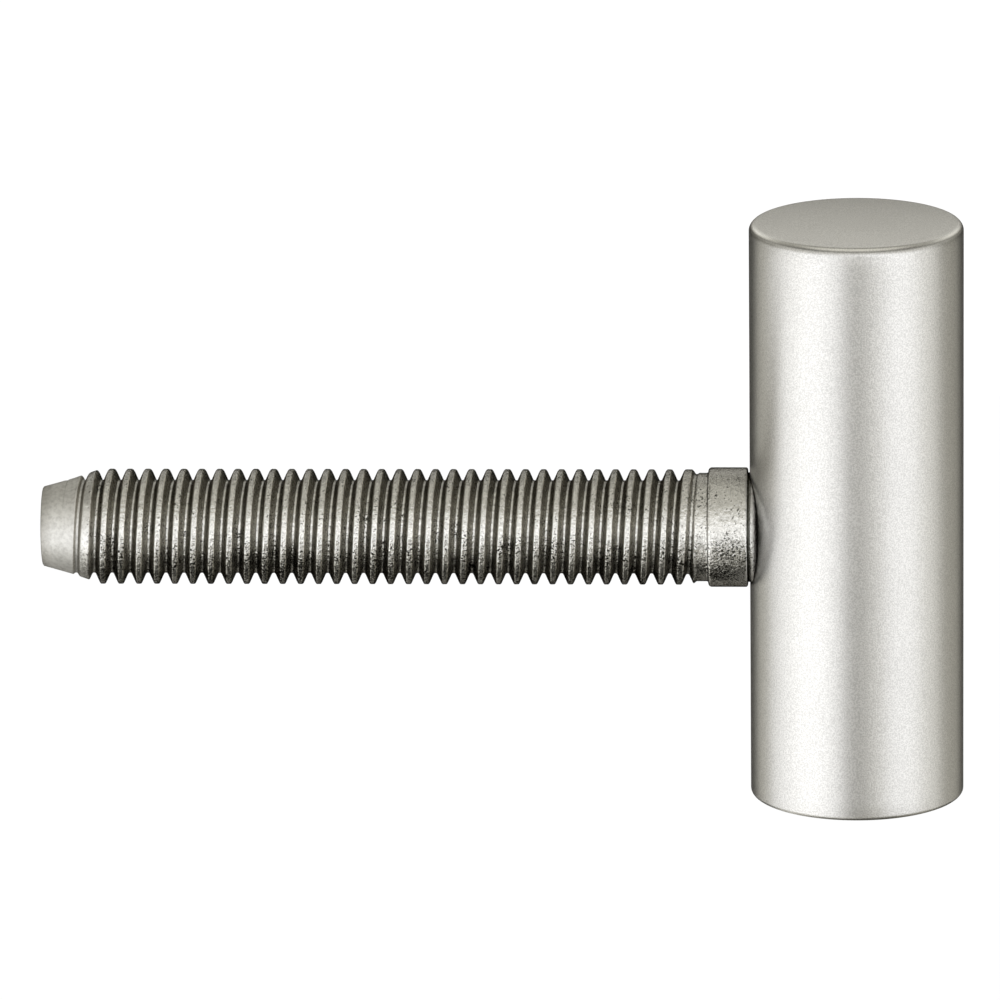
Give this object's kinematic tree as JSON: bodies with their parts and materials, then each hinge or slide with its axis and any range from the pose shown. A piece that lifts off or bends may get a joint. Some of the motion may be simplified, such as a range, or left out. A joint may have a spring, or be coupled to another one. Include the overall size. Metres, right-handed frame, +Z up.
{
  "type": "door hinge leaf part",
  "caption": "Leaf half of a screw-in hinge for a rebated door: a plain round knuckle bored from below for the pin, with a threaded stud and collar at its side.",
  "frame": {"origin": "on the hinge axis, at the centre of the knuckle's lower face", "axes": "+Z up along the hinge axis, towards the knuckle's closed end; -X along the threaded stud, away from the knuckle"},
  "size_m": [0.0639, 0.0148, 0.041],
  "materials": {
    "satin_nickel": "satin nickel plate over a finely blasted surface",
    "plated_stud": "satin nickel plate over rolled and turned steel",
    "bush_plastic": "plain moulded"
  },
  "bodies": {
    "root": {"barrel": "satin_nickel", "threaded_stud": "plated_stud", "bearing_bush": "bush_plastic"}
  },
  "joints": []
}
